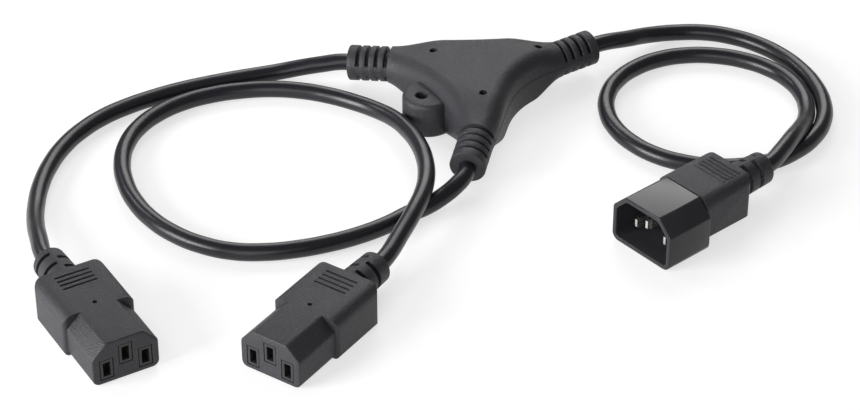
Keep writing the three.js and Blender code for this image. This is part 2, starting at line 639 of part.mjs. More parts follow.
// Inlet plug: hard shroud, overmoulded grip, three pins, three cores
function buildInlet(place) {
  const group = placed(place);
  const cores = connectorCores(SPIGOT_END + GAP, INLET_POLE_Z, INLET_AXIS_Z, INLET_RELIEF_END);
  const poles = [0, 1, 2];
  const spigot = [[-9.6, 4.4], [9.6, 4.4], [9.6, 12], [5.5, 15.4], [-5.5, 15.4], [-9.6, 12]];
  const spigotPocket = [[-9.9, 4.1], [9.9, 4.1], [9.9, 12.15], [5.6, 15.7], [-5.6, 15.7], [-9.9, 12.15]];
  const outer = section(hoodSection(SHROUD_HALF, SHROUD_H, SHROUD_CHAMFER, 3), 0, SHROUD_END, 0.3);
  const innerHalf = SHROUD_HALF - SHROUD_WALL;
  const innerChamfer = SHROUD_CHAMFER - SHROUD_WALL * 0.59;
  const inside = section(hoodSection(innerHalf, SHROUD_H - SHROUD_WALL, innerChamfer, 1.5, SHROUD_WALL),
    -OVERCUT, SHROUD_DEPTH);
  const pinHoles = poles.map((i) => (
    poleBar(i, INLET_POLE_Z, PIN_W + 2 * GAP, PIN_H + 2 * GAP, SHROUD_DEPTH - OVERCUT, SPIGOT_END + OVERCUT)));
  const shroud = cutBy(outer.add(section(spigot, SHROUD_END - OVERCUT, SPIGOT_END)), [inside, ...pinHoles]);
  piece(group, 'inlet_shroud', toGeometry(shroud), SHROUD_BLACK);

  const start = SHROUD_END + GAP;
  const grip = section(gripSection(12.2, SHROUD_H, 5, 2, 3), start, INLET_GRIP_END)
    .intersect(plate(gripPlan(12.2, 11.6, start, INLET_GRIP_END, 0.4, 3), 0, SHROUD_H + OVERCUT));
  const relief = sleeve(INLET_RELIEF_R, INLET_GRIP_END, INLET_TAPER_END, INLET_RELIEF_END, INLET_AXIS_Z);
  const slots = staggeredSlots([[49.6, 1], [55.3, 1], [52.7, -1], [58.4, -1]], 1.9, 4.1, INLET_AXIS_Z);
  const ribs = [33, 34.9, 36.8, 38.7, 40.6].map((y) => (
    block([-7.2, y - 0.3, SHROUD_H - 1], [7.2, y + 0.3, SHROUD_H + 0.35])));
  const bores = coreBoresOf(cores, SPIGOT_END, INLET_AXIS_Z, INLET_RELIEF_END);
  const body = cutBy(joined([grip, relief, ...ribs]), [
    ...slots, section(spigotPocket, SHROUD_END - OVERCUT, SPIGOT_END + GAP), ...bores]);
  piece(group, 'inlet_body', toGeometry(body), BODY_BLACK);

  poles.forEach((i) => {
    const [x, z] = polePlace(i, INLET_POLE_Z);
    const tip = POLES[i] === 'earth' ? EARTH_PIN_TIP : PIN_TIP;
    const halfW = PIN_W / 2;
    const taper = [[x - 0.5, tip], [x + 0.5, tip], [x + halfW, tip + 1.6], [x + halfW, 21.6],
      [x - halfW, 21.6], [x - halfW, tip + 1.6]];
    const sideTaper = new THREE.ExtrudeGeometry(
      shapeOf([[tip, -1.5], [tip, 1.5], [tip + 1.2, PIN_H / 2], [21.6, PIN_H / 2], [21.6, -PIN_H / 2],
        [tip + 1.2, -PIN_H / 2]]), { depth: 4, bevelEnabled: false });
    const profile = toSolid(sideTaper.applyMatrix4(new THREE.Matrix4().makeBasis(
      new THREE.Vector3(0, 1, 0), new THREE.Vector3(0, 0, 1), new THREE.Vector3(1, 0, 0))).translate(x - 2, 0, z));
    const blade = plate(taper, z - 3, z + 3).intersect(profile);
    const crimp = bar(1.15, 1.15, 21, SPIGOT_END, z, 10, x);
    piece(group, `inlet_pin_${POLES[i]}`, toGeometry(blade.add(crimp)), PLATED);
  });
  cores.forEach((core) => {
    const wire = strand(core.points, CORE_DIA / 2, CORE_SIDES, CORE_STEPS);
    piece(group, `inlet_core_${core.pole}`, toGeometry(wire), CORE_COLOURS[core.pole]);
  });
  return group;
}

// Cord routes: hand-set points between an arm of the junction and a connector
const FLOOR_Z = CORD_DIA / 2 + 0.1;
const ROUTE_A = [
  [-58.0, 30.5, 6.6], [-66.0, 31.0, 4.8], [-73.5, 30.2, 3.6], [-81.0, 28.3, FLOOR_Z], [-91.0, 25.2, FLOOR_Z],
  [-101.0, 21.6, FLOOR_Z], [-111.0, 17.4, FLOOR_Z], [-121.0, 12.0, FLOOR_Z], [-130.0, 6.0, FLOOR_Z],
  [-138.0, -1.0, FLOOR_Z], [-145.0, -10.0, FLOOR_Z], [-150.5, -20.5, FLOOR_Z], [-154.3, -33.0, FLOOR_Z],
  [-156.2, -46.0, FLOOR_Z], [-156.3, -58.5, 3.5], [-154.9, -71.5, 5.1], [-152.3, -83.5, 7.2],
];
const ROUTE_B = [
  [-7.6, -50.6, 6.2], [-12.2, -54.6, 4.5], [-17.6, -58.6, FLOOR_Z], [-23.5, -63.0, FLOOR_Z],
  [-32.0, -70.3, FLOOR_Z], [-41.5, -76.4, FLOOR_Z], [-52.0, -81.2, FLOOR_Z], [-63.0, -84.6, FLOOR_Z],
  [-74.0, -86.3, FLOOR_Z], [-85.0, -85.8, FLOOR_Z], [-96.0, -82.0, FLOOR_Z], [-106.0, -75.5, FLOOR_Z],
  [-114.5, -66.8, FLOOR_Z], [-121.3, -56.0, FLOOR_Z], [-125.9, -44.0, FLOOR_Z], [-128.2, -31.5, FLOOR_Z],
  [-127.6, -19.0, FLOOR_Z], [-123.8, -7.5, FLOOR_Z], [-117.2, 2.0, FLOOR_Z], [-108.6, 9.3, FLOOR_Z],
  [-98.5, 14.3, FLOOR_Z], [-87.8, 17.2, FLOOR_Z], [-76.8, 18.3, FLOOR_Z], [-65.8, 17.2, FLOOR_Z],
  [-55.0, 14.0, FLOOR_Z], [-45.0, 9.2, FLOOR_Z], [-36.6, 2.8, 4.0], [-29.8, -5.4, 5.5],
  [-24.6, -15.5, 7.1], [-20.6, -27.0, 8.6], [-18.3, -38.5, 9.6], [-17.7, -49.5, 10.2],
  [-18.9, -60.3, 10.5], [-21.9, -71.0, 10.2], [-26.0, -82.0, 9.2],
];
const ROUTE_C = [
  [51.6, 41.2, 9.6], [59.5, 48.0, 7.4], [69.0, 54.8, 4.8], [79.5, 58.8, 3.4], [90.5, 58.9, FLOOR_Z],
  [101.0, 55.8, FLOOR_Z], [110.5, 50.0, FLOOR_Z], [118.6, 41.8, FLOOR_Z], [125.0, 31.5, FLOOR_Z],
  [129.2, 20.0, FLOOR_Z], [130.9, 8.0, FLOOR_Z], [129.6, -3.5, FLOOR_Z], [124.8, -14.5, FLOOR_Z],
  [117.0, -23.7, FLOOR_Z], [107.5, -30.4, FLOOR_Z], [96.8, -33.5, FLOOR_Z], [86.0, -33.7, FLOOR_Z],
  [75.5, -31.2, FLOOR_Z], [66.0, -26.3, FLOOR_Z], [58.0, -18.6, FLOOR_Z], [52.2, -8.7, FLOOR_Z],
  [49.6, 2.5, FLOOR_Z], [50.4, 13.8, FLOOR_Z], [54.6, 24.3, FLOOR_Z], [61.8, 33.0, FLOOR_Z],
  [71.2, 39.2, FLOOR_Z], [82.0, 42.2, FLOOR_Z], [93.2, 41.9, FLOOR_Z], [103.8, 38.6, FLOOR_Z],
  [113.0, 32.6, FLOOR_Z], [119.8, 24.2, FLOOR_Z], [123.5, 14.5, FLOOR_Z], [124.2, 4.5, 3.5],
  [122.6, -5.0, 4.7], [119.0, -15.0, 7.0], [114.2, -24.5, 9.4],
];

// Turns a point of a placed group into the part's frame
const outOf = (group, point) => new THREE.Vector3(...point).applyMatrix4(group.matrixWorld).toArray();

function buildCord(name, arm, route, group, axisZ, reliefEnd, steps) {
  const points = [
    outOf(junction, armAt(arm, arm.reach + GAP)),
    outOf(junction, armAt(arm, arm.reach + 4)),
    ...route,
    outOf(group, [0, reliefEnd + 4, axisZ]),
    outOf(group, [0, reliefEnd + GAP, axisZ]),
  ];
  piece(splitter, name, toGeometry(strand(points, CORD_DIA / 2, CORD_SIDES, steps)), CORD_BLACK);
}

buildJunction();
const outletA = buildOutlet('a', OUTLET_A);
const outletB = buildOutlet('b', OUTLET_B);
const inlet = buildInlet(INLET);
splitter.updateMatrixWorld(true);
buildCord('cord_a', ARMS.left, ROUTE_A, outletA, OUTLET_AXIS_Z, OUTLET_RELIEF_END, 16);
buildCord('cord_b', ARMS.right, ROUTE_B, outletB, OUTLET_AXIS_Z, OUTLET_RELIEF_END, 32);
buildCord('cord_c', ARMS.input, ROUTE_C, inlet, INLET_AXIS_Z, INLET_RELIEF_END, 32);

export default splitter;
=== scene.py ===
import math

import bmesh
import bpy
from mathutils import Matrix, Vector


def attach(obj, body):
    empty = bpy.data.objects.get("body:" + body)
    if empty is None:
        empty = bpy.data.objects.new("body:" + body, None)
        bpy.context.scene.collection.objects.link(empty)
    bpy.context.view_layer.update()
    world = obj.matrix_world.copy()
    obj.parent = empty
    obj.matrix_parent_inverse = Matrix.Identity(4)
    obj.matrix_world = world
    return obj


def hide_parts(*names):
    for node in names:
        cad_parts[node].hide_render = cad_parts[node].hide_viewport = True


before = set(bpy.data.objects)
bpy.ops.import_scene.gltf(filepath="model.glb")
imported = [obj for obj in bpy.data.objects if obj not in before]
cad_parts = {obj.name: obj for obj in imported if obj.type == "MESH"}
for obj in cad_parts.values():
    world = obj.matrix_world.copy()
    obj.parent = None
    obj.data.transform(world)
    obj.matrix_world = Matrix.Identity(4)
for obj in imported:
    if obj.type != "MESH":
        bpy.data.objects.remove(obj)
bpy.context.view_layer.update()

mm = 0.001


# ---------------------------------------------------------------- camera
# Long lens looking down over the flat-laid cord set from its front, along the table's Y.
bpy.ops.object.select_all(action="DESELECT")
bpy.ops.object.camera_add(location=(-0.01644, -0.87602, 0.57820), rotation=(math.radians(54.904), 0, 0))
camera = bpy.context.object
camera.data.sensor_width = 36
camera.data.lens = 117.774
camera.data.clip_start = 0.05
bpy.context.scene.camera = camera


# ---------------------------------------------------------------- flexible cords
# Three-core flex with an extruded black PVC sheath, 6.4 mm thick: satin, faintly drawn lengthwise,
# and slightly uneven where the twisted cores press from inside. The ends are moulded into the reliefs.
CORD_DIA = 6.4
FLOOR_Z = 3.3


class Field:
    """A value that changes over a surface; arithmetic on it adds Math nodes."""

    def __init__(self, finish, socket):
        self.finish = finish
        self.socket = socket

    def maths(self, operation, *values):
        return self.finish.node("ShaderNodeMath", {"operation": operation}, dict(enumerate(values)))

    def __add__(self, other):
        return self.maths("ADD", self, other)

    def __radd__(self, other):
        return self.maths("ADD", other, self)

    def __sub__(self, other):
        return self.maths("SUBTRACT", self, other)

    def __mul__(self, other):
        return self.maths("MULTIPLY", self, other)

    def above(self, edge, width):
        """0 below the edge, 1 above it, with a soft step of that width."""
        settings = {"interpolation_type": "SMOOTHSTEP"}
        return self.finish.node("ShaderNodeMapRange", settings, {0: self, 1: edge - width, 2: edge + width})


class Finish:
    """A surface finish: a Principled shader whose nodes are made by one method."""

    def __init__(self, name, **fixed):
        self.material = bpy.data.materials.new(name)
        self.material.use_nodes = True
        self.tree = self.material.node_tree
        self.shader = self.tree.nodes["Principled BSDF"]
        for socket, value in fixed.items():
            self.shader.inputs[socket.replace("_", " ")].default_value = value
        self.place = self.node("ShaderNodeTexCoord", {}, {}, "Object")

    def node(self, kind, settings, inputs, output=0):
        """New node with its settings; an input is a number, a colour or another node's Field."""
        made = self.tree.nodes.new(kind)
        for name, value in settings.items():
            setattr(made, name, value)
        for key, value in inputs.items():
            if isinstance(value, Field):
                self.tree.links.new(value.socket, made.inputs[key])
            else:
                made.inputs[key].default_value = value
        return Field(self, made.outputs[output])

    def noise(self, size, detail, roughness=0.5):
        """Soft noise whose lumps are about the given size in millimetres."""
        inputs = {"Vector": self.place, "Scale": 1000 / size, "Detail": detail, "Roughness": roughness}
        return self.node("ShaderNodeTexNoise", {}, inputs, "Fac")

    def cells(self, size):
        """Distance inside round cells of about the given size in millimetres."""
        return self.node("ShaderNodeTexVoronoi", {}, {"Vector": self.place, "Scale": 1000 / size}, "Distance")

    def mix(self, share, one, other):
        """Colour that goes from one to the other as the share goes from 0 to 1."""
        return self.node("ShaderNodeMix", {"data_type": "RGBA"}, {0: share, 6: one, 7: other}, 2)

    def bump(self, height, depth, strength=1.0, under=None):
        """Surface relief whose height of 1 stands for the given depth in millimetres."""
        inputs = {"Height": height, "Distance": depth * mm, "Strength": strength}
        if under:
            inputs["Normal"] = under
        return self.node("ShaderNodeBump", {}, inputs)

    def feed(self, **varying):
        """Links the varying values to the shader's inputs."""
        for socket, value in varying.items():
            self.tree.links.new(value.socket, self.shader.inputs[socket.replace("_", " ")])
        return self.material


def grey(level, tint):
    """Linear colour of a neutral grey that may lean to blue."""
    return (level, level, level * (1 + tint), 1)


sheath = Finish("black_cord_sheath", Specular_IOR_Level=0.42)
sheath_lumps = sheath.noise(9, 1)
sheath_lines = sheath.noise(1.6, 2)
sheath_skin = sheath.noise(0.35, 2)
sheath_dust = sheath.noise(0.8, 3).above(0.68, 0.04)
cord_finish = sheath.feed(
    Base_Color=sheath.mix(
        sheath_dust * 0.25,
        sheath.mix(sheath_lumps, grey(0.006, 0.5), grey(0.010, 0.4)),
        grey(0.04, 0.1),
    ),
    Roughness=0.27 + sheath_lines * 0.10 + sheath_dust * 0.2,
    Normal=sheath.bump(sheath_skin, 0.012, 0.6, sheath.bump(sheath_lumps, 0.18, 0.8)),
)

JUNCTION_TURN = math.radians(31.8)
JUNCTION_AT = (10.33, 15.77)
JUNCTION_H = 19.6
AXIS_Z = JUNCTION_H / 2
ARM_HALF = 6.8
RELIEF_LENGTH = 15.2
FORK = math.radians(135)
ARMS = {
    "input": {"angle": 0.0, "reach": 40.3, "hub": 10.0, "tip": 0.5},
    "left": {"angle": FORK, "reach": 58.4, "hub": 24.0, "tip": -1.4},
    "right": {"angle": -FORK, "reach": 58.4, "hub": 24.0, "tip": -1.9},
}
in_junction = Matrix.Translation((JUNCTION_AT[0], JUNCTION_AT[1], 0)) @ Matrix.Rotation(JUNCTION_TURN, 4, "Z")


def along_arm(name, d):
    """Point on an arm's axis, leaning beyond its root as the relief's tip does."""
    arm = ARMS[name]
    root = arm["reach"] - RELIEF_LENGTH
    lean = arm["tip"] * max(0, d - root) / RELIEF_LENGTH
    return in_junction @ Vector((d * math.cos(arm["angle"]), d * math.sin(arm["angle"]), AXIS_Z + lean))


def lying(at, turn_degrees):
    """Place of a connector that lies at a point, turned about the vertical."""
    return Matrix.Translation((at[0], at[1], 0)) @ Matrix.Rotation(math.radians(turn_degrees), 4, "Z")


OUTLET_A_PLACE = lying((-116.0, -151.1), 30.6)
OUTLET_B_PLACE = lying((-68.8, -151.8), -34.0)
INLET_PLACE = lying((56.7, -83.5), -49.2)
OUTLET_AXIS_Z = 8.2
INLET_AXIS_Z = 10.0
OUTLET_RELIEF_END = 61.0
INLET_RELIEF_END = 60.6
MOULDED_IN = 2.0
LEAVES_STRAIGHT = 4.0
ENTERS_STRAIGHT = 3.7

# Routes from the junction to the connectors, in millimetres
ROUTE_A = [
    (-58.0, 30.5, 6.6), (-66.0, 31.0, 4.8), (-73.5, 30.2, 3.6), (-81.0, 28.3, FLOOR_Z), (-91.0, 25.2, FLOOR_Z),
    (-101.0, 21.6, FLOOR_Z), (-111.0, 17.4, FLOOR_Z), (-121.0, 12.0, FLOOR_Z), (-130.0, 6.0, FLOOR_Z),
    (-138.0, -1.0, FLOOR_Z), (-145.0, -10.0, FLOOR_Z), (-150.5, -20.5, FLOOR_Z), (-154.3, -33.0, FLOOR_Z),
    (-156.2, -46.0, FLOOR_Z), (-156.3, -58.5, 3.5), (-154.9, -71.5, 5.1), (-152.3, -83.5, 7.2),
]
ROUTE_B = [
    (-7.6, -50.6, 6.2), (-12.2, -54.6, 4.5), (-17.6, -58.6, FLOOR_Z), (-23.5, -63.0, FLOOR_Z),
    (-32.0, -70.3, FLOOR_Z), (-41.5, -76.4, FLOOR_Z), (-52.0, -81.2, FLOOR_Z), (-63.0, -84.6, FLOOR_Z),
    (-74.0, -86.3, FLOOR_Z), (-85.0, -85.8, FLOOR_Z), (-96.0, -82.0, FLOOR_Z), (-106.0, -75.5, FLOOR_Z),
    (-114.5, -66.8, FLOOR_Z), (-121.3, -56.0, FLOOR_Z), (-125.9, -44.0, FLOOR_Z), (-128.2, -31.5, FLOOR_Z),
    (-127.6, -19.0, FLOOR_Z), (-123.8, -7.5, FLOOR_Z), (-117.2, 2.0, FLOOR_Z), (-108.6, 9.3, FLOOR_Z),
    (-98.5, 14.3, FLOOR_Z), (-87.8, 17.2, FLOOR_Z), (-76.8, 18.3, FLOOR_Z), (-65.8, 17.2, FLOOR_Z),
    (-55.0, 14.0, FLOOR_Z), (-45.0, 9.2, FLOOR_Z), (-36.6, 2.8, 4.0), (-29.8, -5.4, 5.5),
    (-24.6, -15.5, 7.1), (-20.6, -27.0, 8.6), (-18.3, -38.5, 9.6), (-17.7, -49.5, 10.2),
    (-18.9, -60.3, 10.5), (-21.9, -71.0, 10.2), (-26.0, -82.0, 9.2),
]
ROUTE_C = [
    (59.5, 47.4, 7.6), (69.0, 54.8, 4.8), (79.5, 58.8, 3.4), (90.5, 58.9, FLOOR_Z),
    (101.0, 55.8, FLOOR_Z), (110.5, 50.0, FLOOR_Z), (118.6, 41.8, FLOOR_Z), (125.0, 31.5, FLOOR_Z),
    (129.2, 20.0, FLOOR_Z), (130.9, 8.0, FLOOR_Z), (129.6, -3.5, FLOOR_Z), (124.8, -14.5, FLOOR_Z),
    (117.0, -23.7, FLOOR_Z), (107.5, -30.4, FLOOR_Z), (96.8, -33.5, FLOOR_Z), (86.0, -33.7, FLOOR_Z),
    (75.5, -31.2, FLOOR_Z), (66.0, -26.3, FLOOR_Z), (58.0, -18.6, FLOOR_Z), (52.2, -8.7, FLOOR_Z),
    (49.6, 2.5, FLOOR_Z), (50.4, 13.8, FLOOR_Z), (54.6, 24.3, FLOOR_Z), (61.8, 33.0, FLOOR_Z),
    (71.2, 39.2, FLOOR_Z), (82.0, 42.2, FLOOR_Z), (93.2, 41.9, FLOOR_Z), (103.8, 38.6, FLOOR_Z),
    (113.0, 32.6, FLOOR_Z), (119.8, 24.2, FLOOR_Z), (123.5, 14.5, FLOOR_Z), (124.2, 4.5, 3.5),
    (122.6, -5.0, 4.7), (119.3, -15.0, 7.3), (115.2, -24.5, 9.6), (110.6, -33.5, 10.2),
]


def lay_cord(name, node, arm, route, place, axis_z, relief_end):
    """Bezier centreline through the route, from inside one relief to inside the other."""
    reach = ARMS[arm]["reach"]
    points = [along_arm(arm, reach - MOULDED_IN), along_arm(arm, reach + LEAVES_STRAIGHT)]
    points += [Vector(point) for point in route]
    points += [place @ Vector((0, relief_end + d, axis_z)) for d in (ENTERS_STRAIGHT, -MOULDED_IN)]
    curve = bpy.data.curves.new(name, "CURVE")
    curve.dimensions = "3D"
    curve.resolution_u = 10
    curve.bevel_depth = CORD_DIA / 2 * mm
    curve.bevel_resolution = 8
    line = curve.splines.new("BEZIER")
    line.bezier_points.add(len(points) - 1)
    for knot, point in zip(line.bezier_points, points):
        knot.co = point * mm
        knot.handle_left_type = "AUTO"
        knot.handle_right_type = "AUTO"
    curve.materials.append(cord_finish)
    cord = bpy.data.objects.new(name, curve)
    bpy.context.scene.collection.objects.link(cord)
    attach(cord, "root")
    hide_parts(node)
    return cord


cord_a = lay_cord("flex_a", "cord_a", "left", ROUTE_A, OUTLET_A_PLACE, OUTLET_AXIS_Z, OUTLET_RELIEF_END)
cord_b = lay_cord("flex_b", "cord_b", "right", ROUTE_B, OUTLET_B_PLACE, OUTLET_AXIS_Z, OUTLET_RELIEF_END)
cord_c = lay_cord("flex_c", "cord_c", "input", ROUTE_C, INLET_PLACE, INLET_AXIS_Z, INLET_RELIEF_END)


# ---------------------------------------------------------------- Y junction
# Solid black PVC moulded over the splices and the three cord ends: flat top, pill-rounded shoulders
# with a spark-eroded grain, a parting line at mid height, ejector marks, and ribbed reliefs on the arms.
EDGE_R = 5.8
FOOT_R = 1.2
FRONT_BLEND_R = 37
FAR_SAGITTA = 2
BACK_U = -30.5
ROOT_BACK = 0.5
RELIEF_R = 6.7
RELIEF_CORE_R = 4.6
COLLARS = [(0.8, 3.1), (4.4, 6.7), (8.0, 10.3), (11.6, RELIEF_LENGTH)]
WEB_HALF = 2
FLASH = 0.12
FLASH_STEP = 0.14
LUG_BACK = -41.9
LUG_FRONT = -26.5
LUG_HALF = 9.6
LUG_H = 14.1
LUG_EDGE = 1.8
LUG_HOLE_X = -35.1
LUG_HOLE_R = 2.3
MARK_R = 1.5
MARK_DEPTH = 3
MARKS = [(16.4, 0), (-19.3, 17.3), (-19.3, -17.3)]

pvc = Finish("black_moulded_pvc", Specular_IOR_Level=0.5)
pvc_grain = pvc.noise(0.42, 3, roughness=0.6)
pvc_fine = pvc.cells(0.55)
pvc_cloud = pvc.noise(14, 2)
pvc_glint = pvc.noise(0.6, 2).above(0.66, 0.03)
pvc_finish = pvc.feed(
    Base_Color=pvc.mix(
        pvc_glint * 0.5,
        pvc.mix(pvc_cloud, grey(0.013, 0.3), grey(0.02, 0.25)),
        grey(0.06, 0.15),
    ),
    Roughness=0.48 + pvc_cloud * 0.08 - pvc_glint * 0.16,
    Normal=pvc.bump(pvc_grain, 0.24, 0.8, pvc.bump(pvc_fine, 0.12, 0.6)),
)


def arm_point(angle, d, lateral):
    """Point in the junction's plan, so far along an arm and so far to its left."""
    return Vector((d * math.cos(angle) - lateral * math.sin(angle), d * math.sin(angle) + lateral * math.cos(angle)))


HALF_BEND = math.pi / 2 - FORK / 2
FRONT_TANGENT = (ARM_HALF + FRONT_BLEND_R) * math.tan(HALF_BEND)


def front_side(d):
    """Half width of the input or right arm on the side between these two, which a large fillet joins."""
    past = max(0, FRONT_TANGENT - d)
    return ARM_HALF + FRONT_BLEND_R - math.sqrt(FRONT_BLEND_R**2 - past**2)


INPUT_ROOT = ARMS["input"]["reach"] - RELIEF_LENGTH
OUTPUT_ROOT = ARMS["left"]["reach"] - RELIEF_LENGTH
FAR_LEFT = arm_point(FORK, OUTPUT_ROOT, -ARM_HALF)
FAR_RIGHT = arm_point(0, INPUT_ROOT, ARM_HALF)
FAR_CHORD = FAR_RIGHT - FAR_LEFT
FAR_R = ((FAR_CHORD.length / 2) ** 2 + FAR_SAGITTA**2) / (2 * FAR_SAGITTA)
FAR_CENTRE = (FAR_LEFT + FAR_RIGHT) / 2 + Vector((-FAR_CHORD.y, FAR_CHORD.x)).normalized() * (FAR_R - FAR_SAGITTA)


def far_side(name, sign):
    """Half width of an arm on the side away from the lug, where one shallow arc joins two arms."""
    angle = ARMS[name]["angle"]
    across = arm_point(angle, 0, sign)

    def half(d):
        from_centre = arm_point(angle, d, 0) - FAR_CENTRE
        b = across.dot(from_centre)
        return -b - math.sqrt(b**2 - from_centre.length_squared + FAR_R**2)

    return half


BACK_CORNER = ((OUTPUT_ROOT + ARM_HALF) * -math.sqrt(0.5), (OUTPUT_ROOT - ARM_HALF) * math.sqrt(0.5))
BACK_SAGITTA = BACK_U - BACK_CORNER[0]
BACK_R = (BACK_CORNER[1] ** 2 + BACK_SAGITTA**2) / (2 * BACK_SAGITTA)
BACK_CENTRE = (BACK_R - BACK_U) * math.sqrt(0.5)


def back_side(d):
    """Half width of an output arm on the side of the screw lug, on one long arc."""
    return BACK_CENTRE - math.sqrt(BACK_R**2 - (BACK_CENTRE - d) ** 2)


def spread(first, last, count):
    """Evenly spaced numbers from the first to the last."""
    return [first + (last - first) * i / (count - 1) for i in range(count)]


def junction_outline():
    """Outline walked anticlockwise; each point says its arm, place along it and half width."""
    walk = []
    stations = {
        name: spread(arm["reach"] - RELIEF_LENGTH - ROOT_BACK, arm["hub"], 16) for name, arm in ARMS.items()
    }

    def side(name, half, sign, inward):
        order = list(enumerate(stations[name]))
        for station, d in order if inward else reversed(order):
            walk.append((name, d, sign * half(d), station))

    def hub(name, half, sign, places):
        walk.extend((name, d, sign * half(d), None) for d in places)

    input_far = far_side("input", 1)
    left_far = far_side("left", -1)
    back_middle = -BACK_U * math.sqrt(0.5)
    front_middle = FRONT_TANGENT - FRONT_BLEND_R * math.sin(HALF_BEND)
    side("input", front_side, -1, False)
    side("input", input_far, 1, True)
    hub("input", input_far, 1, (8.5, 7, 5, 3, 1))
    hub("left", left_far, -1, (16, 18, 20, 22))
    side("left", left_far, -1, False)
    side("left", back_side, 1, True)
    hub("left", back_side, 1, (22.7,))
    walk.append(("left", back_middle, back_middle, None))
    hub("right", back_side, -1, (22.7,))
    side("right", back_side, -1, False)
    side("right", front_side, 1, True)
    hub("right", front_side, 1, (21.2, 18.2, 15.5, 12.8, 10.4, 8.4, 6.8, 5.3))
    hub("input", front_side, -1, (front_middle, 5.3, 6.8, 8.4))
    return walk, stations


def junction_shell():
    """Rings from the underside to the top, drawn in by the rounded edge, with a flash line between."""
    walk, stations = junction_outline()
    count = len(walk)
    hub_station = len(stations["input"]) - 1
    plan = [arm_point(ARMS[name]["angle"], d, lateral) for name, d, lateral, _ in walk]
    spots = []
    for i, (name, d, lateral, station) in enumerate(walk):
        arm = ARMS[name]
        run = plan[(i + 1) % count] - plan[i - 1]
        normal = Vector((-run.y, run.x)).normalized()
        t = max(0, (d - arm["hub"]) / (arm["reach"] - RELIEF_LENGTH - ROOT_BACK - arm["hub"]))
        share = 0 if station is None else t * t * (3 - 2 * t)
        if station is not None:
            across = arm_point(arm["angle"], 0, -math.copysign(1, lateral))
            normal = normal.lerp(across, 1 if station == 0 else share).normalized()
        half = AXIS_Z - (AXIS_Z - ARM_HALF) * share
        radii = [edge + (ARM_HALF - 0.2 - edge) * share for edge in (FOOT_R, EDGE_R)]
        spots.append((plan[i], normal, half, radii))
    turns = [(math.radians(a), -1, 0) for a in range(-90, 1, 9)]
    low_flash = len(turns)
    turns += [(0, 0, 0), (0, 0, -FLASH), (0, 0, 0)]
    turns += [(math.radians(a), 1, 0) for a in range(0, 91, 9)]
    mesh = bmesh.new()
    rings = []
    for level, (turn, side, out) in enumerate(turns):
        ring = []
        for spot, normal, half, radii in spots:
            edge = radii[side > 0]
            flat = spot + normal * (edge * (1 - math.cos(turn)) + out)
            z = AXIS_Z + side * (half - edge) + edge * math.sin(turn)
            if side == 0:
                z += FLASH_STEP * (level - low_flash - 1)
            ring.append(mesh.verts.new((flat.x * mm, flat.y * mm, z * mm)))
        rings.append(ring)
    for low, high in zip(rings, rings[1:]):
        for i in range(count):
            j = (i + 1) % count
            mesh.faces.new((low[i], low[j], high[j], high[i]))
    caps = []
    for name in stations:
        right, left = (
            {station: i for i, (arm, _, lateral, station) in enumerate(walk) if arm == name and lateral * sign > 0}
            for sign in (-1, 1)
        )
        caps += [[right[s], left[s], left[s + 1], right[s + 1]] for s in range(hub_station)]
    caps.append([i for i, point in enumerate(walk) if point[3] in (None, hub_station)])
    for cap in caps:
        mesh.faces.new([rings[0][i] for i in reversed(cap)])
        mesh.faces.new([rings[-1][i] for i in cap])
    data = bpy.data.meshes.new("junction")
    mesh.to_mesh(data)
    mesh.free()
    shell = bpy.data.objects.new("junction", data)
    bpy.context.scene.collection.objects.link(shell)
    activate(shell)
    bpy.ops.object.mode_set(mode="EDIT")
    bpy.ops.mesh.select_all(action="SELECT")
    bpy.ops.mesh.normals_make_consistent(inside=False)
    bpy.ops.object.mode_set(mode="OBJECT")
    return shell


def activate(part):
    """Makes a part the only selected and active object."""
    bpy.ops.object.select_all(action="DESELECT")
    part.select_set(True)
    bpy.context.view_layer.objects.active = part


def block(low, high):
    """Box between two corners, in millimetres."""
    bpy.ops.object.select_all(action="DESELECT")
    centre = [(a + b) / 2 * mm for a, b in zip(low, high)]
    bpy.ops.mesh.primitive_cube_add(size=1, location=centre)
    part = bpy.context.object
    part.scale = [(b - a) * mm for a, b in zip(low, high)]
    bpy.ops.object.transform_apply(location=True, rotation=True, scale=True)
    return part


def spindle(start_r, end_r, start, end, z=0.0, sides=64):
    """Round bar along Y from one radius to another."""
    bpy.ops.object.select_all(action="DESELECT")
    bpy.ops.mesh.primitive_cone_add(
        vertices=sides,
        radius1=start_r * mm,
        radius2=end_r * mm,
        depth=(end - start) * mm,
        location=(0, (start + end) / 2 * mm, z * mm),
        rotation=(-math.pi / 2, 0, 0),
    )
    bpy.ops.object.transform_apply(location=True, rotation=True, scale=True)
    return bpy.context.object


def post(radius, low, high, x, y, sides=48):
    """Upright round bar."""
    bpy.ops.object.select_all(action="DESELECT")
    bpy.ops.mesh.primitive_cylinder_add(
        vertices=sides,
        radius=radius * mm,
        depth=(high - low) * mm,
        location=(x * mm, y * mm, (low + high) / 2 * mm),
    )
    bpy.ops.object.transform_apply(location=True, rotation=True, scale=True)
    return bpy.context.object


def round_edges(part, width, segments, wanted):
    """Bevels the edges whose two ends, in millimetres, pass the test."""
    activate(part)
    bpy.ops.object.mode_set(mode="EDIT")
    bpy.ops.mesh.select_mode(type="EDGE")
    bpy.ops.mesh.select_all(action="DESELECT")
    mesh = bmesh.from_edit_mesh(part.data)
    for edge in mesh.edges:
        a, b = (v.co / mm for v in edge.verts)
        edge.select_set(bool(wanted(a, b)))
    bmesh.update_edit_mesh(part.data)
    bpy.ops.mesh.bevel(offset=width * mm, segments=segments, profile=0.5, affect="EDGES")
    bpy.ops.object.mode_set(mode="OBJECT")


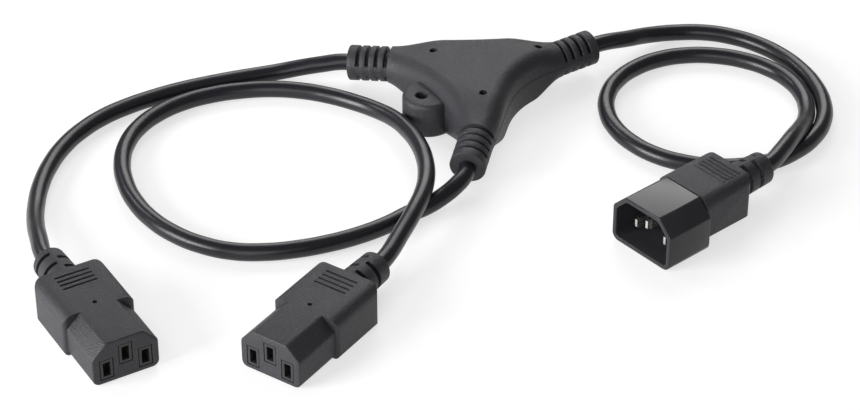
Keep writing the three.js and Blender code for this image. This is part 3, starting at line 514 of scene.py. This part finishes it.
def combine(part, tool, operation):
    """Boolean with another part, which is used up."""
    modifier = part.modifiers.new("shape", "BOOLEAN")
    modifier.operation = operation
    modifier.solver = "EXACT"
    modifier.object = tool
    activate(part)
    bpy.ops.object.modifier_apply(modifier=modifier.name)
    bpy.data.objects.remove(tool)
    return part


def join(parts):
    """Makes parts one object, the first, without changing their faces."""
    activate(parts[0])
    for part in parts[1:]:
        part.select_set(True)
    bpy.ops.object.join()
    return parts[0]


def near(a, b):
    return abs(a - b) < 0.02


def soften(part, width, angle=35):
    """Small radius on every crisp edge, as a mould leaves it."""
    modifier = part.modifiers.new("edge", "BEVEL")
    modifier.width = width * mm
    modifier.segments = 3
    modifier.limit_method = "ANGLE"
    modifier.angle_limit = math.radians(angle)
    activate(part)
    bpy.ops.object.modifier_apply(modifier=modifier.name)


def finished(part, name, material, place, node):
    """Moves a part to its place in its mesh, paints it and hands it to the frame."""
    part.name = name
    part.data.name = name
    part.data.transform(Matrix.Scale(mm, 4) @ place @ Matrix.Scale(1 / mm, 4))
    part.data.materials.clear()
    part.data.materials.append(material)
    activate(part)
    bpy.ops.object.shade_smooth_by_angle(angle=math.radians(34))
    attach(part, "root")
    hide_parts(node)
    return part


def ribbed_relief():
    """Relief of one arm: a core, collars with broken rims, and a web down both sides."""
    core = spindle(RELIEF_CORE_R, RELIEF_CORE_R, -3, RELIEF_LENGTH - 1)
    collars = []
    for start, end in COLLARS:
        collar = spindle(RELIEF_R, RELIEF_R, start, end)
        round_edges(collar, 0.3, 3, lambda a, b: near(a.y, b.y) and a.xz.length > 6)
        collars.append(collar)
    web = spindle(RELIEF_R - 0.05, RELIEF_R - 0.05, -2, RELIEF_LENGTH - 1)
    combine(web, block((-8, -3, -WEB_HALF), (8, RELIEF_LENGTH, WEB_HALF)), "INTERSECT")
    round_edges(web, 0.5, 3, lambda a, b: near(abs(a.z), WEB_HALF) and near(a.z, b.z) and abs(a.y - b.y) > 5)
    return join([core, web, *collars])


junction = junction_shell()
lug = block((LUG_BACK, -LUG_HALF, 0), (LUG_FRONT, LUG_HALF, LUG_H))
round_edges(lug, LUG_HALF - 0.05, 18, lambda a, b: near(a.x, LUG_BACK) and near(b.x, LUG_BACK) and abs(a.z - b.z) > 5)
for level, segments in [(LUG_H, 6), (0, 4)]:
    outer_edge = lambda a, b: near(a.z, level) and near(b.z, level) and min(a.x, b.x) < LUG_FRONT - 0.5
    round_edges(lug, LUG_EDGE, segments, outer_edge)
combine(lug, post(LUG_HOLE_R, -1, LUG_H + 2, LUG_HOLE_X, 0), "DIFFERENCE")
hole_rim = lambda a, b: near(a.z, b.z) and Vector((a.x - LUG_HOLE_X, a.y)).length < LUG_HOLE_R + 0.1
round_edges(lug, 0.35, 3, hole_rim)
combine(junction, lug, "UNION")
for mark in MARKS:
    combine(junction, post(MARK_R, JUNCTION_H - MARK_DEPTH, JUNCTION_H + 3, *mark, sides=32), "DIFFERENCE")
reliefs = []
for name, arm in ARMS.items():
    relief = ribbed_relief()
    root = arm_point(arm["angle"], arm["reach"] - RELIEF_LENGTH, 0)
    turn = Matrix.Translation((root.x * mm, root.y * mm, AXIS_Z * mm))
    turn = turn @ Matrix.Rotation(arm["angle"] - math.pi / 2, 4, "Z")
    turn = turn @ Matrix.Rotation(math.atan2(arm["tip"], RELIEF_LENGTH), 4, "X")
    relief.data.transform(turn)
    reliefs.append(relief)
junction = join([junction, *reliefs])
finished(junction, "y_junction", pvc_finish, in_junction, "junction_body")


# ---------------------------------------------------------------- outlet connectors
# Two alike outlet connectors, each a black PVC body moulded over a carrier: a chamfered nose with three
# slots, a wider grip with four finger grooves, and a tapered relief with half-ring slots left and right.
NOSE_HALF = 12.0
NOSE_H = 16.0
GRIP_HALF = 13.2
NOSE_LENGTH = 19.8
GRIP_END = 44.6
POLES = [(-7.0, 5.65), (0.0, 9.65), (7.0, 5.65)]
POLE_HALF_WIDTH = 2.52
POLE_HALF_HEIGHT = 3.93
POLE_DEPTH = 15.4
GROOVES = [34, 36.3, 38.6, 40.9]
GROOVE_DEPTH = 0.7
DOT_Y = 22.6


def hood(half, low, high, chamfer, foot, start, end):
    """Bar along Y with two broad top chamfers and two rounded bottom corners."""
    part = block((-half, start, low), (half, end, high))
    round_edges(part, chamfer, 1, lambda a, b: near(a.z, high) and near(b.z, high) and abs(a.y - b.y) > 1)
    round_edges(part, 0.7, 4, lambda a, b: a.z > low + 4 and b.z > low + 4 and abs(a.y - b.y) > 1)
    round_edges(part, foot, 5, lambda a, b: near(a.z, low) and near(b.z, low) and abs(a.y - b.y) > 1)
    return part


def grip_block(front_half, rear_half, low, high, start, end, top_r, foot_r, front_r, rear_r):
    """Grip: a profile with rounded long edges, cut to a plan with rounded corners."""
    half = max(front_half, rear_half)
    profile = block((-half, start, low), (half, end, high))
    round_edges(profile, top_r, 8, lambda a, b: near(a.z, high) and near(b.z, high) and abs(a.y - b.y) > 1)
    round_edges(profile, foot_r, 4, lambda a, b: near(a.z, low) and near(b.z, low) and abs(a.y - b.y) > 1)
    plan = block((-half, start, low - 2), (half, end, high + 2))
    for vertex in plan.data.vertices:
        vertex.co.x *= (rear_half if near(vertex.co.y / mm, end) else front_half) / half
    round_edges(plan, front_r, 5, lambda a, b: near(a.y, start) and abs(a.z - b.z) > 5)
    round_edges(plan, rear_r, 6, lambda a, b: near(a.y, end) and near(b.y, end) and abs(a.z - b.z) > 5)
    return combine(profile, plan, "INTERSECT")


def half_slots(part, slots, width, floor_r, z):
    """Half-ring slots, each cut from the right (1) or left (-1) side of the relief."""
    for middle, side in slots:
        slot = block((0.6, middle - width / 2, z - 12), (12, middle + width / 2, z + 12))
        if side < 0:
            slot.data.transform(Matrix.Rotation(math.pi, 4, "Z"))
            slot.data.transform(Matrix.Translation((0, 2 * middle * mm, 0)))
        combine(slot, spindle(floor_r, floor_r, middle - 3, middle + 3, z=z, sides=40), "DIFFERENCE")
        combine(part, slot, "DIFFERENCE")


def tapered_relief(sections, z):
    """Tapered sleeve turned on the cord's axis, with a rounded end."""
    parts = [spindle(r1, r2, start, end, z=z) for r1, r2, start, end in sections]
    end = sections[-1][3]
    round_edges(parts[-1], 0.7, 4, lambda a, b: near(a.y, end) and near(b.y, end))
    sleeve = parts[0]
    for part in parts[1:]:
        combine(sleeve, part, "UNION")
    return sleeve


def outlet_body():
    """Overmould of an outlet connector, its face at the origin and its cord towards +Y."""
    nose = hood(NOSE_HALF, 0, NOSE_H, 5.25, 2.4, 0, NOSE_LENGTH + 4)
    round_edges(nose, 0.6, 3, lambda a, b: near(a.y, 0) and near(b.y, 0))
    for x, z in POLES:
        low = (x - POLE_HALF_WIDTH, -1, z - POLE_HALF_HEIGHT)
        high = (x + POLE_HALF_WIDTH, POLE_DEPTH, z + POLE_HALF_HEIGHT)
        combine(nose, block(low, high), "DIFFERENCE")
    grip = grip_block(GRIP_HALF, GRIP_HALF, 0, NOSE_H, NOSE_LENGTH, GRIP_END, 4.2, 1.4, 1.6, 3)
    sleeve = tapered_relief([(6.6, 6.3, GRIP_END - 3, 49), (6.3, 5.9, 48.5, OUTLET_RELIEF_END)], OUTLET_AXIS_Z)
    half_slots(sleeve, [(48, 1), (54.2, 1), (51.2, -1), (57.3, -1)], 1.7, 4.0, OUTLET_AXIS_Z)
    for y in GROOVES:
        combine(grip, block((-6.35, y - 0.45, NOSE_H - GROOVE_DEPTH), (6.35, y + 0.45, NOSE_H + 2)), "DIFFERENCE")
    soften(grip, 0.3)
    combine(grip, nose, "UNION")
    combine(grip, post(0.85, NOSE_H - 2, NOSE_H + 2, 0, DOT_Y, sides=24), "DIFFERENCE")
    return join([grip, sleeve])


outlet = outlet_body()
activate(outlet)
bpy.ops.object.duplicate()
outlet_twin = bpy.context.object
finished(outlet, "outlet_a_overmould", pvc_finish, OUTLET_A_PLACE, "outlet_a_body")
finished(outlet_twin, "outlet_b_overmould", pvc_finish, OUTLET_B_PLACE, "outlet_b_body")


# ---------------------------------------------------------------- inlet plug
# The inlet plug's front is a hard glossy moulding, open at the face, with three flat pins inside.
# Its grip and relief are soft black PVC moulded on behind it, with five thin ribs on top.
SHROUD_HALF = 14.15
SHROUD_H = 19.9
SHROUD_WALL = 1.8
SHROUD_DEPTH = 16.5
SHROUD_END = 20.0
SHROUD_CHAMFER = 5.75
RIB_PLACES = [33, 34.9, 36.8, 38.7, 40.6]
RIB_HALF = 0.3
RIB_H = 0.5

hard = Finish("hard_glossy_black", Specular_IOR_Level=0.28)
hard_cloud = hard.noise(8, 2)
hard_skin = hard.noise(0.9, 2)
hard_finish = hard.feed(
    Base_Color=hard.mix(hard_cloud, grey(0.022, 0.14), grey(0.028, 0.14)),
    Roughness=0.14 + hard_cloud * 0.08,
    Normal=hard.bump(hard_skin, 0.012, 0.5),
)

shroud = hood(SHROUD_HALF, 0, SHROUD_H, SHROUD_CHAMFER, 3, 0, SHROUD_END)
inner_chamfer = SHROUD_CHAMFER - 0.59 * SHROUD_WALL
cavity = hood(
    SHROUD_HALF - SHROUD_WALL, SHROUD_WALL, SHROUD_H - SHROUD_WALL, inner_chamfer, 1.5, -1, SHROUD_DEPTH
)
combine(shroud, cavity, "DIFFERENCE")
soften(shroud, 0.4, 50)
finished(shroud, "inlet_shroud_shell", hard_finish, INLET_PLACE, "inlet_shroud")

grip = grip_block(12.2, 11.6, 3, SHROUD_H, SHROUD_END + 0.3, 43.4, 5, 2, 0.4, 3)
soften(grip, 0.3)
ribs = []
for y in RIB_PLACES:
    rib = block((-7.2, y - RIB_HALF, SHROUD_H - 1), (7.2, y + RIB_HALF, SHROUD_H + RIB_H))
    round_edges(rib, 0.28, 4, lambda a, b: a.z > SHROUD_H and b.z > SHROUD_H)
    ribs.append(rib)
sleeve = tapered_relief([(8.4, 6.5, 42.4, 48), (6.5, 6.0, 47.5, INLET_RELIEF_END)], INLET_AXIS_Z)
half_slots(sleeve, [(48.4, 1), (54.2, 1), (51.5, -1), (57.1, -1)], 1.9, 4.1, INLET_AXIS_Z)
rib_faces = sum(len(rib.data.polygons) for rib in ribs)
inlet = finished(
    join([grip, sleeve, *ribs]), "inlet_overmould", pvc_finish, INLET_PLACE, "inlet_body"
)

# The ribs are smoother than the grain round them, so they catch the light, and their grey is painted several times
# lighter than the PVC's as a painted highlight along them
rib_highlight = Finish("smooth_rib_painted_highlight", Specular_IOR_Level=0.8)
rib_highlight_cloud = rib_highlight.noise(1.2, 2)
rib_highlight_finish = rib_highlight.feed(
    # Painted highlight: the rib grey is several times lighter than the black PVC round it
    Base_Color=rib_highlight.mix(rib_highlight_cloud, grey(0.05, 0.15), grey(0.12, 0.1)),
    Roughness=0.22 + rib_highlight_cloud * 0.12,
    Normal=rib_highlight.bump(rib_highlight_cloud, 0.02, 0.5),
)
inlet.data.materials.append(rib_highlight_finish)
for face in inlet.data.polygons[-rib_faces:]:
    face.material_index = 1


# ---------------------------------------------------------------- carriers, contacts and pins
# Inside the connectors: dark nylon carriers that line the slots, folded brass sleeves behind them,
# and nickel-plated flat pins in the inlet.
nylon = Finish("dark_nylon_carrier", Specular_IOR_Level=0.5)
nylon_cloud = nylon.noise(3, 2)
nylon_finish = nylon.feed(
    Base_Color=nylon.mix(nylon_cloud, grey(0.014, 0.1), grey(0.021, 0.1)),
    Roughness=0.42 + nylon_cloud * 0.1,
    Normal=nylon.bump(nylon.noise(0.4, 2), 0.02, 0.5),
)

plated = Finish("nickel_plated_pin", Metallic=1.0)
plated_brush = plated.noise(0.9, 3)
plated_finish = plated.feed(
    Base_Color=plated.mix(plated_brush, (0.60, 0.59, 0.55, 1), (0.74, 0.73, 0.70, 1)),
    Roughness=0.2 + plated_brush * 0.14,
    Normal=plated.bump(plated.noise(0.5, 2), 0.01, 0.4),
)

brass = Finish("stamped_brass", Metallic=1.0)
brass_tarnish = brass.noise(1.5, 3)
brass_finish = brass.feed(
    Base_Color=brass.mix(brass_tarnish, (0.30, 0.19, 0.06, 1), (0.46, 0.32, 0.12, 1)),
    Roughness=0.3 + brass_tarnish * 0.2,
    Normal=brass.bump(brass_tarnish, 0.01, 0.4),
)


def paint(words, material):
    """Gives a finish to every frame piece whose name holds one of the words."""
    for name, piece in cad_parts.items():
        if any(word in name for word in words):
            for slot in piece.material_slots:
                slot.material = material


paint(["_carrier"], nylon_finish)
paint(["_pin_"], plated_finish)
paint(["_contact_", "junction_splice_line", "junction_splice_earth", "junction_splice_neutral"], brass_finish)


# ---------------------------------------------------------------- cores and splice block
# Brown, blue and green-yellow insulated cores run inside, and the three crimped splices lie in a
# pale block that was moulded round them before the black body.
def core_finish(name, base, band):
    """Insulation of one colour with a stripe of another."""
    core = Finish(name, Specular_IOR_Level=0.5)
    drift = core.noise(2.5, 2)
    stripe = core.node("ShaderNodeTexWave", {}, {"Vector": core.place, "Scale": 90.0, "Distortion": 0.3}, "Fac")
    return core.feed(
        Base_Color=core.mix(stripe.above(0.5, 0.05), base, band),
        Roughness=0.38 + drift * 0.15,
        Normal=core.bump(drift, 0.02, 0.5),
    )


paint(["core_line"], core_finish("brown_core", (0.15, 0.05, 0.02, 1), (0.17, 0.06, 0.025, 1)))
paint(["core_neutral"], core_finish("blue_core", (0.03, 0.12, 0.38, 1), (0.035, 0.14, 0.42, 1)))
paint(["core_earth"], core_finish("green_yellow_core", (0.10, 0.32, 0.05, 1), (0.75, 0.62, 0.05, 1)))

premould = Finish("pale_premould", Specular_IOR_Level=0.5)
premould_cloud = premould.noise(4, 3)
paint(
    ["junction_splice_block"],
    premould.feed(
        Base_Color=premould.mix(premould_cloud, (0.44, 0.41, 0.34, 1), (0.52, 0.49, 0.42, 1)),
        Roughness=0.45 + premould_cloud * 0.15,
        Normal=premould.bump(premould_cloud, 0.05, 0.4),
    ),
)


# ---------------------------------------------------------------- table and light
# White table and surroundings: a broad soft lamp behind, a stronger one low on the left, a weak fill
# from the front and a small lamp at the back left for sharp glints on the cords. The table glows for
# the camera and in reflections only, so it shows white without greying the black plastic.
bpy.ops.object.select_all(action="DESELECT")
bpy.ops.mesh.primitive_plane_add(size=8, location=(0, 0, -0.0002))
table = bpy.context.object
table.name = "table"
white = Finish("white_table", Roughness=0.9)
white.shader.inputs["Base Color"].default_value = grey(0.42, 0)
seen = white.node("ShaderNodeLightPath", {}, {}, "Is Camera Ray")
mirrored = white.node("ShaderNodeLightPath", {}, {}, "Is Glossy Ray")
glow = white.node("ShaderNodeEmission", {}, {"Color": (1, 1, 1, 1), "Strength": (seen + mirrored) * 0.64})
both = white.node("ShaderNodeAddShader", {}, {0: Field(white, white.shader.outputs[0]), 1: glow})
white.tree.links.new(both.socket, white.tree.nodes["Material Output"].inputs["Surface"])
table.data.materials.append(white.material)

world = bpy.data.worlds.new("studio")
bpy.context.scene.world = world
world.use_nodes = True
air = world.node_tree
rays = air.nodes.new("ShaderNodeLightPath")
bright = air.nodes.new("ShaderNodeMapRange")
bright.inputs["To Min"].default_value = 0.22
bright.inputs["To Max"].default_value = 1.0
air.links.new(rays.outputs["Is Camera Ray"], bright.inputs["Value"])
air.nodes["Background"].inputs["Color"].default_value = (1, 1, 1, 1)
air.links.new(bright.outputs["Result"], air.nodes["Background"].inputs["Strength"])


def lamp(name, location, size, watts):
    """Square lamp that faces the middle of the junction."""
    bpy.ops.object.select_all(action="DESELECT")
    bpy.ops.object.light_add(type="AREA", location=location)
    made = bpy.context.object
    made.name = name
    made.data.size = size
    made.data.energy = watts
    made.rotation_euler = (-Vector(location)).to_track_quat("-Z", "Y").to_euler()


lamp("back_softbox", (0.05, 1.0, 0.8), 0.8, 8)
lamp("left_softbox", (-1.25, -0.65, 0.38), 0.8, 32)
lamp("front_fill", (-0.2, -1.3, 0.5), 0.9, 6)
lamp("small_spark", (-1.0, 0.6, 0.8), 0.2, 2)

bpy.context.scene.view_settings.view_transform = "Standard"
